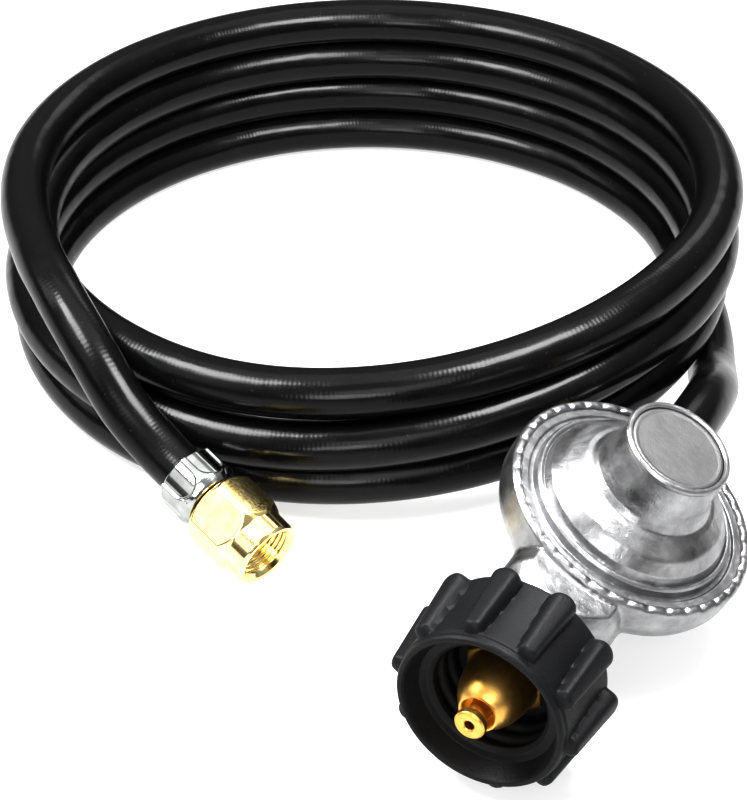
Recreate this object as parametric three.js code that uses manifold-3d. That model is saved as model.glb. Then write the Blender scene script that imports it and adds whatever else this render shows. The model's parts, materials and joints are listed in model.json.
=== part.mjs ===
// Propane regulator hose: a low-pressure gas regulator with a plastic tank nut at its inlet, about 2.6 m of
// coiled rubber hose, and a swivelling flare fitting at the far end of the hose.
//
// Millimetres, +Z up. The object lies on the plane z = 0. The tank nut points along -Y and the regulator's
// outlet along +Y. Everything is placed in plan from the crossing of the regulator's inlet and bonnet axes,
// and the whole is moved at the end, so that the origin is under the middle of the regulator, its nut and
// its outlet ferrule.

import * as THREE from 'three';
import { mergeVertices } from 'three/addons/utils/BufferGeometryUtils.js';
import Module from 'manifold-3d';

const wasm = await Module();
wasm.setup();

// ---------------------------------------------------------------------------------------------------------
// Driving dimensions
// ---------------------------------------------------------------------------------------------------------

const GAP = 0.3; // clearance between touching pieces

// The crossing of the regulator's inlet axis and bonnet axis: its height, and its place from the origin
const AXIS_HEIGHT = 27;
const CROSSING_X = -3.73;
const CROSSING_Y = 17.15;

// Lean of the bonnet to +X, as the regulator lies on its side
const LEAN = THREE.MathUtils.degToRad(26.5);

// Hose: 14.5 mm outside, over barbs of 8 mm
const HOSE_R = 7.25;
const HOSE_D = 2 * HOSE_R;
const BORE_R = 4.3;
const HOSE_SIDES = 10;

// Coil: three layers in the ring, and the fourth, the flare end's, on top of them
const COIL_CENTRE = new THREE.Vector2(-127.2, 104.3);
const COIL_R = 106;
const COIL_HALF_WIDTH = 7.5;
const COIL_CORNER = 7;
const COIL_LAYERS = 3;
const COIL_START = 215; // degrees from +X, where the flare end joins the coil
const TOP_TURN_END = 0.56; // turns from there to the end of the top layer

// Regulator body and cover, about the bonnet axis: the body's wall is staked over the cover's flange
const WALL_R = 34.4;
const WALL_TOP = 13.3;
const STAKE_R = 31.9;
const SEAT_TOP = 9.6;
const DIAPHRAGM_TOP = 10.9;
const COVER_LOW = DIAPHRAGM_TOP + GAP;
const COVER_R = 33;
const TOWER_BORE = 11.4;
const TOWER_TOP = 37.8;
const SCREW_LOW = 30.5;
const SCREW_TOP = 34.5;
const WELL_R = 16;
const WELL_FLOOR = -12;
const CHAMBER_FLOOR = -1;

// Inlet and outlet, along the Y axis of the regulator
const BOSS_R = 12;
const BOSS_ROOT_R = 16.5;
const INLET_END = -48;
const OUTLET_END = 35;
const BOSS_BORE = 4.9;
const NUT_MOUTH = -79;
const NUT_BACK = -54;
const NUT_FLOOR = -58;
const NUT_RIM_R = 22.1;
const NUT_LOBES = 10;
const NUT_LOBE_TOP = 27;
const NUT_LOBE_TURN = THREE.MathUtils.degToRad(9);
const THREAD_R = 15;
const THREAD_START = -73.5;

// Lever mechanism, in the regulator's own axes
const PIVOT_Y = -10;
const PIVOT_Z = -6;
const PIN_R = 1;
const PIN_HOLE = 1.3;

// Flare fitting: the middle of its mouth, and the way it points
const FLARE_MOUTH = new THREE.Vector3(-85.2, -32, 10.2);
const FLARE_AXIS = new THREE.Vector3(0.918, -0.278, -0.283).normalize();
const FLARE_HEX = 20.6; // across flats, 13/16 in
const FLARE_LENGTH = 34.5; // from the mouth to the hose side of the ferrule
const FERRULE_R = 9.7;

// ---------------------------------------------------------------------------------------------------------
// Shape helpers
// ---------------------------------------------------------------------------------------------------------

/** Signed volume of an indexed geometry. */
function volumeOf(geometry) {
  const p = geometry.attributes.position;
  const index = geometry.index.array;
  const [a, b, c] = [new THREE.Vector3(), new THREE.Vector3(), new THREE.Vector3()];
  let sum = 0;
  for (let i = 0; i < index.length; i += 3) {
    a.fromBufferAttribute(p, index[i]);
    b.fromBufferAttribute(p, index[i + 1]);
    c.fromBufferAttribute(p, index[i + 2]);
    sum += a.dot(b.cross(c)) / 6;
  }
  return sum;
}

/** The geometry with shared vertices merged, empty triangles dropped and its faces pointing out. */
function closed(geometry) {
  const bare = geometry.clone();
  bare.deleteAttribute('normal');
  bare.deleteAttribute('uv');
  const merged = mergeVertices(bare, 1e-4);
  const kept = [];
  const index = merged.index.array;
  for (let i = 0; i < index.length; i += 3) {
    const [a, b, c] = [index[i], index[i + 1], index[i + 2]];
    if (a !== b && b !== c && c !== a) kept.push(a, b, c);
  }
  merged.setIndex(kept);
  if (volumeOf(merged) < 0) {
    for (let i = 0; i < kept.length; i += 3) [kept[i + 1], kept[i + 2]] = [kept[i + 2], kept[i + 1]];
    merged.setIndex(kept);
  }
  return merged;
}

/** A closed geometry as a solid that can be joined and cut. */
function solid(geometry) {
  const clean = closed(geometry);
  return new wasm.Manifold(new wasm.Mesh({
    numProp: 3,
    vertProperties: new Float32Array(clean.attributes.position.array),
    triVerts: new Uint32Array(clean.index.array),
  }));
}

/** A solid back as a geometry. */
function geometryOf(manifold) {
  const mesh = manifold.getMesh();
  const geometry = new THREE.BufferGeometry();
  geometry.setAttribute('position', new THREE.BufferAttribute(new Float32Array(mesh.vertProperties), 3));
  geometry.setIndex(new THREE.BufferAttribute(new Uint32Array(mesh.triVerts), 1));
  geometry.computeVertexNormals();
  return geometry;
}

function join(...pieces) {
  return pieces.reduce((sum, piece) => sum.add(piece));
}

function cut(from, ...tools) {
  return tools.reduce((rest, tool) => rest.subtract(tool), from);
}

/** A turned solid about Y from [radius, y] points; a profile clear of the axis closes on itself. */
function turned(profile, segments = 32) {
  const points = profile.map(([r, y]) => new THREE.Vector2(r, y));
  if (points[0].x > 0) points.push(points[0].clone());
  return new THREE.LatheGeometry(points, segments);
}

/** The same about Z, for what stands on the bonnet axis. */
function turnedUp(profile, segments = 32) {
  return turned(profile, segments).rotateX(Math.PI / 2);
}

/** A plain ring or disc about Y; an inner radius of 0 makes a disc. */
function ring(inner, outer, y0, y1, segments = 28) {
  const profile = inner > 0
    ? [[inner, y0], [outer, y0], [outer, y1], [inner, y1]]
    : [[0, y0], [outer, y0], [outer, y1], [0, y1]];
  return turned(profile, segments);
}

function ringUp(inner, outer, z0, z1, segments = 32) {
  return ring(inner, outer, z0, z1, segments).rotateX(Math.PI / 2);
}

/** A hexagonal bar along Y, by its width across flats. */
function hexBar(acrossFlats, y0, y1) {
  const corner = acrossFlats / Math.sqrt(3);
  return new THREE.CylinderGeometry(corner, corner, y1 - y0, 6).translate(0, (y0 + y1) / 2, 0);
}

/** A box from its lowest and highest corners. */
function block([x0, y0, z0], [x1, y1, z1]) {
  return new THREE.BoxGeometry(x1 - x0, y1 - y0, z1 - z0)
    .translate((x0 + x1) / 2, (y0 + y1) / 2, (z0 + z1) / 2);
}

/** Points on an arc about [r, z], from one angle to another in degrees. */
function arc([r, z], radius, from, to, steps = 4) {
  return Array.from({ length: steps + 1 }, (_, i) => {
    const a = THREE.MathUtils.degToRad(from + (to - from) * i / steps);
    return [r + radius * Math.cos(a), z + radius * Math.sin(a)];
  });
}

/** A round bar along a curve. */
function bar(curve, radius, steps, sides) {
  const section = new THREE.Shape(Array.from({ length: sides }, (_, i) => {
    const a = 2 * Math.PI * i / sides;
    return new THREE.Vector2(radius * Math.cos(a), radius * Math.sin(a));
  }));
  return new THREE.ExtrudeGeometry(section, { steps, bevelEnabled: false, extrudePath: curve });
}

/** The centre line of a coil spring about Y. */
class SpringLine extends THREE.Curve {
  constructor(radius, y0, y1, turns) {
    super();
    Object.assign(this, { radius, y0, y1, turns });
  }

  getPoint(t, target = new THREE.Vector3()) {
    const a = 2 * Math.PI * this.turns * t;
    const y = THREE.MathUtils.lerp(this.y0, this.y1, t);
    return target.set(this.radius * Math.cos(a), y, this.radius * Math.sin(a));
  }
}

function spring(radius, wire, y0, y1, turns) {
  return bar(new SpringLine(radius, y0 + wire, y1 - wire, turns), wire, turns * 12, 6);
}

// ---------------------------------------------------------------------------------------------------------
// Materials
// ---------------------------------------------------------------------------------------------------------

function material(color, roughness, metalness) {
  return new THREE.MeshStandardMaterial({ color, roughness, metalness });
}

const DIE_CAST = material(0xb9babd, 0.38, 1);
const STEEL = material(0xc9cbce, 0.25, 1);
const BRASS = material(0xd6a84e, 0.22, 1);
const YELLOW_ZINC = material(0xe6d9a0, 0.3, 1);
const NUT_PLASTIC = material(0x3b3d41, 0.6, 0);
const BUSHING_PLASTIC = material(0x222326, 0.55, 0);
const RUBBER = material(0x0b0b0c, 0.25, 0);
const SOFT_RUBBER = material(0x1c1c1e, 0.7, 0);
const SCREW_PLASTIC = material(0xc8c4b8, 0.6, 0);

// ---------------------------------------------------------------------------------------------------------
// Regulator casing
// ---------------------------------------------------------------------------------------------------------

/** Lower casing: bowl, staked wall, inlet and outlet bosses, and the lugs that hold the lever's pin. */
function regulatorBody() {
  const bowl = solid(turnedUp([
    [0, -15.5],
    [16, -15.5],
    ...arc([16, -9.5], 6, -90, -35),
    [25.6, -8],
    [29.2, -3],
    [33.2, 2],
    [WALL_R, 4.4],
    [WALL_R, WALL_TOP - 1],
    [WALL_R - 0.8, WALL_TOP - 0.2],
    [STAKE_R + 0.6, WALL_TOP],
    [STAKE_R, WALL_TOP - 0.2],
    [STAKE_R, SEAT_TOP],
    [0, SEAT_TOP],
  ], 44));
  const groove = solid(ringUp(STAKE_R - 1, COVER_R + GAP, SEAT_TOP, WALL_TOP - 0.8, 44));
  const inlet = turned([
    [0, INLET_END],
    [BOSS_R, INLET_END],
    [BOSS_R, INLET_END + 4],
    [BOSS_ROOT_R, INLET_END + 11],
    [BOSS_ROOT_R, 0],
    [0, 0],
  ], 24);
  const outlet = turned([
    [0, 0],
    [BOSS_ROOT_R, 0],
    [BOSS_ROOT_R, OUTLET_END - 11],
    [BOSS_R, OUTLET_END - 5],
    [BOSS_R, OUTLET_END],
    [0, OUTLET_END],
  ], 24);
  const aboveWall = solid(ringUp(0, WALL_R + 1, 3, 30));
  const bosses = cut(join(solid(inlet), solid(outlet)), aboveWall);
  const chamber = solid(turnedUp([
    [0, WELL_FLOOR],
    [WELL_R, WELL_FLOOR],
    [WELL_R, CHAMBER_FLOOR],
    [23, CHAMBER_FLOOR],
    [26.5, 4],
    [26.5, SEAT_TOP + 1],
    [0, SEAT_TOP + 1],
  ]));
  const bores = join(
    solid(ring(0, BOSS_BORE, INLET_END - 1, -WELL_R + 2, 20)),
    solid(ring(0, BOSS_BORE, WELL_R - 2, OUTLET_END + 1, 20)),
  );
  const pinHole = solid(ring(0, PIN_HOLE, -10, 10, 12).rotateZ(Math.PI / 2).translate(0, PIVOT_Y, PIVOT_Z));
  const lugs = [-1, 1].map((side) => solid(block(
    [Math.min(side * 4.2, side * 7.2), PIVOT_Y - 2.5, WELL_FLOOR - 0.5],
    [Math.max(side * 4.2, side * 7.2), PIVOT_Y + 2.5, PIVOT_Z + 2.6],
  )));
  return geometryOf(join(cut(join(bowl, bosses), groove, chamber, bores), cut(join(...lugs), pinHole)));
}

/** Upper casing: flange under the staked wall, groove and bead, dome, and the spring tower with its rolled edge. */
function regulatorCover() {
  const shell = solid(turnedUp([
    [COVER_R, COVER_LOW],
    [COVER_R, COVER_LOW + 1],
    [29.2, COVER_LOW + 1],
    [28.9, COVER_LOW + 0.6],
    [28.1, COVER_LOW + 0.6],
    [27.7, 13.6],
    [27.1, 14.1],
    [26.4, 14.3],
    [24.6, 17.2],
    [21.6, 20],
    [18.6, 21.8],
    [16.7, 23],
    [15.6, 24.8],
    [13.9, 35.8],
    [14.5, 36.4],
    [14.5, TOWER_TOP - 0.5],
    [14, TOWER_TOP],
    [13.2, TOWER_TOP],
    [12.9, TOWER_TOP - 0.3],
    [12.9, TOWER_TOP - 1.9],
    [TOWER_BORE, TOWER_TOP - 1.9],
    [TOWER_BORE, 24],
    [13.6, 21.4],
    [18.4, 18.6],
    [22, 16],
    [25, 12.6],
    [25.4, COVER_LOW],
  ], 44));
  // Breather hole through the dome, on the side away from the tank nut
  const vent = solid(ring(0, 1.2, 0, 12, 10).rotateX(Math.PI / 2).translate(0, 21.5, 11));
  return geometryOf(cut(shell, vent));
}

/** Disc pressed into the rolled edge of the tower. */
function towerCap() {
  return ringUp(0, 12.6, TOWER_TOP - 1.6, TOWER_TOP - 0.6, 40);
}

/** Spring seat that is screwed down in the tower to set the outlet pressure, with a slot for a driver. */
function adjustingScrew() {
  const disc = solid(turnedUp([[0, SCREW_LOW], [9.8, SCREW_LOW], [11, SCREW_LOW + 1], [11, SCREW_TOP], [0, SCREW_TOP]], 28));
  const slot = solid(block([-7, -1, SCREW_TOP - 1.6], [7, 1, SCREW_TOP + 1]));
  return geometryOf(cut(disc, slot));
}

// ---------------------------------------------------------------------------------------------------------
// Diaphragm and lever mechanism
// ---------------------------------------------------------------------------------------------------------

const STEM_R = 2.2;
const STEM_HOLE = STEM_R + 0.4;
const PLATE_FACE = COVER_LOW + 0.8;

/** Rubber diaphragm, clamped between the body's seat and the cover's flange. */
function diaphragm() {
  return ringUp(STEM_HOLE, COVER_R, SEAT_TOP + GAP, DIAPHRAGM_TOP, 32);
}

/** Pressed plate that spreads the spring's load, with a turned-up edge. */
function diaphragmPlate() {
  return turnedUp([
    [STEM_HOLE, COVER_LOW],
    [17.5, COVER_LOW],
    [17.5, PLATE_FACE + 1.4],
    [16.7, PLATE_FACE + 1.4],
    [16.7, PLATE_FACE],
    [STEM_HOLE, PLATE_FACE],
  ], 28);
}

function diaphragmWasher() {
  return ringUp(STEM_HOLE, 12, SEAT_TOP - 1, SEAT_TOP, 24);
}

/** Rivet through the diaphragm; the lever's fork sits in its neck. */
function diaphragmStem() {
  return turnedUp([
    [0, -8.6],
    [2.3, -8.6],
    [2.3, -7.5],
    [1.1, -7.5],
    [1.1, -4.5],
    [STEM_R, -4.5],
    [STEM_R, PLATE_FACE + GAP],
    [4.5, PLATE_FACE + GAP],
    [4.5, PLATE_FACE + 1.4],
    [3.6, PLATE_FACE + 2],
    [0, PLATE_FACE + 2],
  ], 16);
}

/** Bell crank: a forked long arm under the diaphragm, and a short arm up into the valve holder. */
function lever() {
  const acrossX = Math.PI / 2;
  const hub = solid(ring(0, 2.6, -3, 3, 16).rotateZ(acrossX).translate(0, PIVOT_Y, PIVOT_Z));
  const longArm = solid(block([-3.2, PIVOT_Y, PIVOT_Z - 0.7], [3.2, 2.2, PIVOT_Z + 0.7]));
  const shortArm = solid(block([-1, PIVOT_Y - 0.7, PIVOT_Z], [1, PIVOT_Y + 0.7, -0.3]));
  const hole = solid(ring(0, PIN_HOLE, -4, 4, 12).rotateZ(acrossX).translate(0, PIVOT_Y, PIVOT_Z));
  const fork = solid(block([-1.5, -1.9, PIVOT_Z - 2], [1.5, 3, PIVOT_Z + 2]));
  return geometryOf(cut(join(hub, longArm, shortArm), hole, fork));
}

function leverPin() {
  return ring(0, PIN_R, -6.8, 6.8, 12).rotateZ(Math.PI / 2).translate(0, PIVOT_Y, PIVOT_Z);
}

/** Sliding holder for the valve's rubber seat, with a slot for the lever's short arm. */
function valveHolder() {
  const cup = solid(turned([[0, -14.3], [2.9, -14.3], [2.9, -15.7], [3.5, -15.7], [3.5, -13], [0, -13]], 20));
  const stem = solid(block([-1.8, -13.2, -1.8], [1.8, -7.2, 1.8]));
  const slot = solid(block([-2.5, PIVOT_Y - 1.3, -2.5], [2.5, PIVOT_Y + 1.3, 0.3]));
  return geometryOf(cut(join(cup, stem), slot));
}

function seatDisc() {
  return ring(0, 2.6, -15.9, -14.6, 20);
}

/** Brass jet in the inlet bore; the seat disc closes on its nose. */
function inletOrifice() {
  return turned([[1.2, -25], [4.6, -25], [4.6, -19.4], [2.4, -18.9], [1.7, -17.4], [1.2, -17.4]], 20);
}

// ---------------------------------------------------------------------------------------------------------
// Tank connection
// ---------------------------------------------------------------------------------------------------------

/** Brass nipple: shank in the body, hexagon, and the bulging nose that seals in the tank's valve. */
function inletNipple() {
  const outside = solid(turned([
    [0, -26],
    [4.6, -26],
    [4.6, INLET_END - GAP],
    [8.1, INLET_END - GAP],
    [8.1, -61],
    [9.8, -62],
    [10, -66],
    [9.7, -70],
    [8.9, -73.5],
    [7.6, -76.4],
    [6.4, -78.2],
    [6.1, -79],
    [0, -79],
  ], 24));
  const hex = solid(hexBar(19.5, -65, -61.4));
  const bore = solid(turned([
    [0, -80],
    [4.2, -80],
    [4.2, -75.4],
    [3, -75.4],
    [3, -70],
    [4.3, -70],
    [4.3, -59],
    [2.4, -58],
    [2.4, -25],
    [0, -25],
  ], 16));
  return geometryOf(cut(join(outside, hex), bore));
}

/** Excess-flow plunger: the hollow tip that stands out of the nose, and its flange in the spring chamber. */
function flowLimiterPlunger() {
  return turned([
    [1.4, -83.8],
    [3.5, -83.8],
    [4, -83.3],
    [4, -81.6],
    [2.7, -81.3],
    [2.7, -69.7],
    [3.9, -69.7],
    [3.9, -68],
    [1.4, -68],
  ], 20);
}

function flowLimiterSpring() {
  return spring(3.3, 0.45, -67.7, -59.4, 5);
}

/** Heat-sensitive bushing that holds the nut on the nipple. */
function thermalBushing() {
  return turned([
    [8.5, -60.6],
    [14.2, -60.6],
    [14.2, NUT_FLOOR - GAP],
    [10.7, NUT_FLOOR - GAP],
    [10.7, -51.2],
    [8.5, -51.2],
  ], 28);
}

/** Hand nut: a stepped, threaded cup with rounded lobes along its outside. */
function inletNut() {
  const outline = [
    [11, NUT_BACK],
    [22, NUT_BACK],
    [23.2, NUT_BACK - 1.2],
    [22.4, -74],
    ...arc([NUT_RIM_R - 1, NUT_MOUTH + 1], 1, 0, -90, 3),
  ];
  const cup = [
    [20.6, NUT_MOUTH],
    [20.2, NUT_MOUTH + 0.8],
    [18.2, THREAD_START],
    [THREAD_R, THREAD_START],
    [THREAD_R, NUT_FLOOR],
  ];
  const shell = solid(turned([...outline, ...cup, [11, NUT_FLOOR]], 40));
  const inside = solid(turned([[0, NUT_MOUTH - 1], [20.6, NUT_MOUTH - 1], ...cup, [0, NUT_FLOOR]], 40));
  const lobeR = 3.6;
  const lobeLength = 21;
  const taper = Math.atan(2 / lobeLength);
  const lobeProfile = [
    [0, 0],
    [2.4, -0.4],
    [lobeR, -2],
    [lobeR, -lobeLength + 1.6],
    [2.6, -lobeLength + 0.3],
    [0, -lobeLength],
  ];
  const lobes = Array.from({ length: NUT_LOBES }, (_, i) => solid(turned(lobeProfile, 10)
    .rotateX(-taper)
    .translate(0, NUT_BACK - 0.8, lobeR - NUT_LOBE_TOP)
    .rotateY(2 * Math.PI * i / NUT_LOBES - NUT_LOBE_TURN)));
  return geometryOf(cut(join(shell, ...lobes), inside));
}

// ---------------------------------------------------------------------------------------------------------
// Outlet end of the regulator
// ---------------------------------------------------------------------------------------------------------

const OUTLET_FERRULE_START = 36.6;
const OUTLET_FERRULE_END = 49.5;

/** Brass insert: shank in the body, collar, and a ribbed barb inside the hose. */
function outletBarb() {
  const collar = solid(hexBar(17, OUTLET_END + GAP, OUTLET_FERRULE_START - GAP));
  const shank = solid(ring(0, BOSS_BORE - GAP, 24, OUTLET_END + 1, 20));
  const ribs = [38.6, 41.8, 45].flatMap((y) => [[3.4, y], [3.9, y], [3.4, y + 2.7]]);
  const barb = solid(turned([[0, OUTLET_END + 1], [3.9, OUTLET_END + 1], [3.9, 38], ...ribs, [3.2, 48.5], [0, 48.5]], 16));
  const bore = solid(ring(0, 2.4, 23, 49, 12));
  return geometryOf(cut(join(collar, shank, barb), bore));
}

/** Crimped sleeve, with an inturned lip at the fitting's side; y grows towards the hose. */
function ferrule(start, end) {
  return turned([
    [BORE_R, start],
    [FERRULE_R - 0.6, start],
    [FERRULE_R, start + 0.6],
    [FERRULE_R, end - 0.8],
    [FERRULE_R - 0.3, end],
    [HOSE_R + GAP, end],
    [HOSE_R + GAP, start + 1.2],
    [BORE_R, start + 1.2],
  ], 28);
}

// ---------------------------------------------------------------------------------------------------------
// Flare fitting: local y = 0 at the mouth, and the hose towards -y
// ---------------------------------------------------------------------------------------------------------

const FLARE_COLLAR = -21.8;
const FLARE_FERRULE_START = -22.9;

/** Swivelling union nut: hexagon, round end, and the threaded socket. */
function flareNut() {
  const hex = solid(hexBar(FLARE_HEX, -21.5, -7.2));
  const bevel = solid(turned([[0, -21.5], [10.1, -21.5], [12, -19.9], [12, -9.6], [9.9, -7.4], [9.9, -0.7], [9.2, 0],
    [0, 0]], 36));
  const collar = solid(ring(0, 9.9, -8, 0, 36));
  const socket = solid(turned([[0, 1], [8.6, 1], [8.6, 0], [7.8, -0.8], [7.7, -13], [0, -13]], 28));
  const neck = solid(ring(0, 5.3, -22.5, -12.5, 20));
  return geometryOf(cut(join(hex, collar).intersect(bevel), socket, neck));
}

/** Swivel insert: hollow 45 degree seat in the nut, collar, and a barb in the hose. */
function flareInsert() {
  const ribs = [-25, -28, -31].flatMap((y) => [[3.9, y], [3.4, y - 2.5]]);
  return turned([
    [6.4, -8.6],
    [7.2, -9.2],
    [7.2, -12.5],
    [4.9, -12.5],
    [4.9, FLARE_COLLAR],
    [8, FLARE_COLLAR],
    [8, FLARE_FERRULE_START + GAP],
    [3.9, FLARE_FERRULE_START + GAP],
    ...ribs,
    [3.2, -33.8],
    [2.4, -33.8],
    [2.4, -12.6],
  ], 24);
}

// ---------------------------------------------------------------------------------------------------------
// Hose
// ---------------------------------------------------------------------------------------------------------

/** A point on the flare fitting's axis, by its distance behind the mouth. */
function behindMouth(distance) {
  return FLARE_MOUTH.clone().addScaledVector(FLARE_AXIS, -distance);
}

// From the flare ferrule up to the top of the coil
const FLARE_TAIL = [
  behindMouth(24.4),
  behindMouth(30),
  behindMouth(35.5),
  new THREE.Vector3(-129.1, -19.4, 25.2),
  new THREE.Vector3(-138.8, -17.5, 31.7),
  new THREE.Vector3(-147.4, -14.6, 38.9),
  new THREE.Vector3(-157.1, -9.9, 45.5),
  new THREE.Vector3(-166.7, -4.1, 49.7),
  new THREE.Vector3(-175.6, 2.5, 51.7),
  new THREE.Vector3(-184.2, 9.6, 52),
  new THREE.Vector3(-192.7, 18, 51.3),
  new THREE.Vector3(-201.2, 27, 51),
];

// From the foot of the coil up to the regulator's outlet ferrule
const OUTLET_TAIL = [
  new THREE.Vector3(-5.6, 90, 18.6),
  new THREE.Vector3(-3.2, 82, 22.3),
  new THREE.Vector3(-1.2, 73.5, 25.4),
  new THREE.Vector3(-0.2, 66, 26.8),
  new THREE.Vector3(0, 58.5, AXIS_HEIGHT),
  new THREE.Vector3(0, 51, AXIS_HEIGHT),
  new THREE.Vector3(0, 44.5, AXIS_HEIGHT),
  new THREE.Vector3(0, 38.1, AXIS_HEIGHT),
];

const RING_TOP = COIL_LAYERS * HOSE_D;

/** Flare end of the hose: up from the ferrule, and round the top of the coil. */
function hoseFlareEnd() {
  const perTurn = 24;
  const points = [...FLARE_TAIL];
  for (let i = 0; i <= TOP_TURN_END * perTurn; i += 1) {
    const a = THREE.MathUtils.degToRad(COIL_START - 360 * i / perTurn);
    const x = COIL_CENTRE.x + COIL_R * Math.cos(a);
    const y = COIL_CENTRE.y + COIL_R * Math.sin(a);
    points.push(new THREE.Vector3(x, y, RING_TOP + HOSE_R + GAP));
  }
  const tube = solid(bar(new THREE.CatmullRomCurve3(points), HOSE_R, 30, HOSE_SIDES));
  const bore = solid(alongFlare(ring(0, BORE_R, -FLARE_LENGTH, -23, 20)));
  return geometryOf(cut(tube, bore));
}

/** Turns of the coil that lie on each other, as one ring. */
function hoseCoil() {
  const inner = COIL_R - COIL_HALF_WIDTH + COIL_CORNER;
  const outer = COIL_R + COIL_HALF_WIDTH - COIL_CORNER;
  return turnedUp([
    ...arc([outer, COIL_CORNER], COIL_CORNER, -90, 0, 2),
    ...arc([outer, RING_TOP - COIL_CORNER], COIL_CORNER, 0, 90, 3),
    ...arc([inner, RING_TOP - COIL_CORNER], COIL_CORNER, 90, 180, 2),
    ...arc([inner, COIL_CORNER], COIL_CORNER, 180, 270, 2),
  ], 56).translate(COIL_CENTRE.x, COIL_CENTRE.y, 0);
}

/** Regulator end of the hose, from beside the coil into the outlet ferrule. */
function hoseRegulatorEnd() {
  const tube = solid(bar(new THREE.CatmullRomCurve3(OUTLET_TAIL), HOSE_R, 8, HOSE_SIDES));
  const bore = solid(ring(0, BORE_R, OUTLET_END, 49, 20).translate(0, 0, AXIS_HEIGHT));
  return geometryOf(cut(tube, bore));
}

/** A geometry made along the flare fitting's own axis, put in its place. */
function alongFlare(geometry) {
  const turn = new THREE.Quaternion().setFromUnitVectors(new THREE.Vector3(0, 1, 0), FLARE_AXIS);
  return geometry.applyQuaternion(turn).translate(FLARE_MOUTH.x, FLARE_MOUTH.y, FLARE_MOUTH.z);
}

// ---------------------------------------------------------------------------------------------------------
// Assembly
// ---------------------------------------------------------------------------------------------------------

function node(name, geometry, look) {
  const mesh = new THREE.Mesh(closed(geometry), look);
  mesh.name = name;
  return mesh;
}

const regulator = new THREE.Group();
regulator.position.z = AXIS_HEIGHT;
regulator.rotation.y = LEAN;
regulator.add(
  node('regulator_body', regulatorBody(), DIE_CAST),
  node('regulator_cover', regulatorCover(), DIE_CAST),
  node('tower_cap', towerCap(), DIE_CAST),
  node('adjusting_screw', adjustingScrew(), SCREW_PLASTIC),
  node('main_spring', spring(9, 0.9, PLATE_FACE + GAP, SCREW_LOW - GAP, 6).rotateX(Math.PI / 2), STEEL),
  node('diaphragm', diaphragm(), SOFT_RUBBER),
  node('diaphragm_plate', diaphragmPlate(), STEEL),
  node('diaphragm_washer', diaphragmWasher(), STEEL),
  node('diaphragm_stem', diaphragmStem(), BRASS),
  node('lever', lever(), STEEL),
  node('lever_pin', leverPin(), STEEL),
  node('valve_holder', valveHolder(), BRASS),
  node('seat_disc', seatDisc(), SOFT_RUBBER),
  node('inlet_orifice', inletOrifice(), BRASS),
  node('inlet_nipple', inletNipple(), BRASS),
  node('flow_limiter_plunger', flowLimiterPlunger(), BRASS),
  node('flow_limiter_spring', flowLimiterSpring(), STEEL),
  node('outlet_barb', outletBarb(), BRASS),
  node('outlet_ferrule', ferrule(OUTLET_FERRULE_START, OUTLET_FERRULE_END), STEEL),
);

// The nut and its bushing turn and slide on the inlet axis, so they stand upright and not with the lean
const tankNut = new THREE.Group();
tankNut.position.z = AXIS_HEIGHT;
tankNut.add(
  node('thermal_bushing', thermalBushing(), BUSHING_PLASTIC),
  node('inlet_nut', inletNut(), NUT_PLASTIC),
);

const flareFitting = new THREE.Group();
flareFitting.position.copy(FLARE_MOUTH);
flareFitting.quaternion.setFromUnitVectors(new THREE.Vector3(0, 1, 0), FLARE_AXIS);
flareFitting.add(
  node('flare_nut', flareNut(), YELLOW_ZINC),
  node('flare_insert', flareInsert(), BRASS),
  node('flare_ferrule', ferrule(-FLARE_FERRULE_START, FLARE_LENGTH).scale(1, -1, 1), STEEL),
);

const hose = new THREE.Group();
hose.add(
  node('hose_flare_end', hoseFlareEnd(), RUBBER),
  node('hose_coil', hoseCoil(), RUBBER),
  node('hose_regulator_end', hoseRegulatorEnd(), RUBBER),
);

const part = new THREE.Group();
part.add(regulator, tankNut, flareFitting, hose);
part.position.set(CROSSING_X, CROSSING_Y, 0);

export default part;
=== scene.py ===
"""Propane regulator hose: the visual model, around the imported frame.

A low-pressure gas regulator lies on its side at the end of a coiled rubber hose. A plastic tank nut with
a brass nipple is at its inlet, and a swivelling flare nut is at the hose's far end. Turned shapes are in
millimetres in the regulator's or the fitting's own axes; places and the hose's route are in metres in the
frame's axes.
"""

import json
import math

import bpy
import numpy as np
from mathutils import Matrix, Vector


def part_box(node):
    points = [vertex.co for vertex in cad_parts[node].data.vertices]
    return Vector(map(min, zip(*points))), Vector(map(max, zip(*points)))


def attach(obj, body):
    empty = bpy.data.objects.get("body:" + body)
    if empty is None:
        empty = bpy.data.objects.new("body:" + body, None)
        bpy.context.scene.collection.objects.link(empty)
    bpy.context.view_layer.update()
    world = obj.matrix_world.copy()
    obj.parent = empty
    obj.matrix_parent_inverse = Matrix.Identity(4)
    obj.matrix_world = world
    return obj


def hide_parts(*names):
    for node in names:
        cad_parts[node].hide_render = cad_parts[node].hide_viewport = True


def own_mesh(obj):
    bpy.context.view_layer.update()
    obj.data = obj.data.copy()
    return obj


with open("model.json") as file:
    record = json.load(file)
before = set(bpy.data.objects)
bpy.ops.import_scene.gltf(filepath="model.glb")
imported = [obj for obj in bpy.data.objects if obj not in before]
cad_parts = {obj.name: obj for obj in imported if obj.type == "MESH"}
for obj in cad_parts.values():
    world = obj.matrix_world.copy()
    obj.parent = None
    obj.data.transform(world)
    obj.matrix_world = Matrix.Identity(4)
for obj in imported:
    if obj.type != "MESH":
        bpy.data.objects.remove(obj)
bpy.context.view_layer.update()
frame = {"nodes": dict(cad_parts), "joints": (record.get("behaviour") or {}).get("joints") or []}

MM = 0.001
INCH = 25.4
SHARP_ANGLE = 32
JOINT = {joint["name"]: joint for joint in frame["joints"]}


# ---------------------------------------------------------------------------------------------------------
# Places, from the frame
# ---------------------------------------------------------------------------------------------------------

def middle(node):
    low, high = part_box(node)
    return (low + high) / 2


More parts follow.
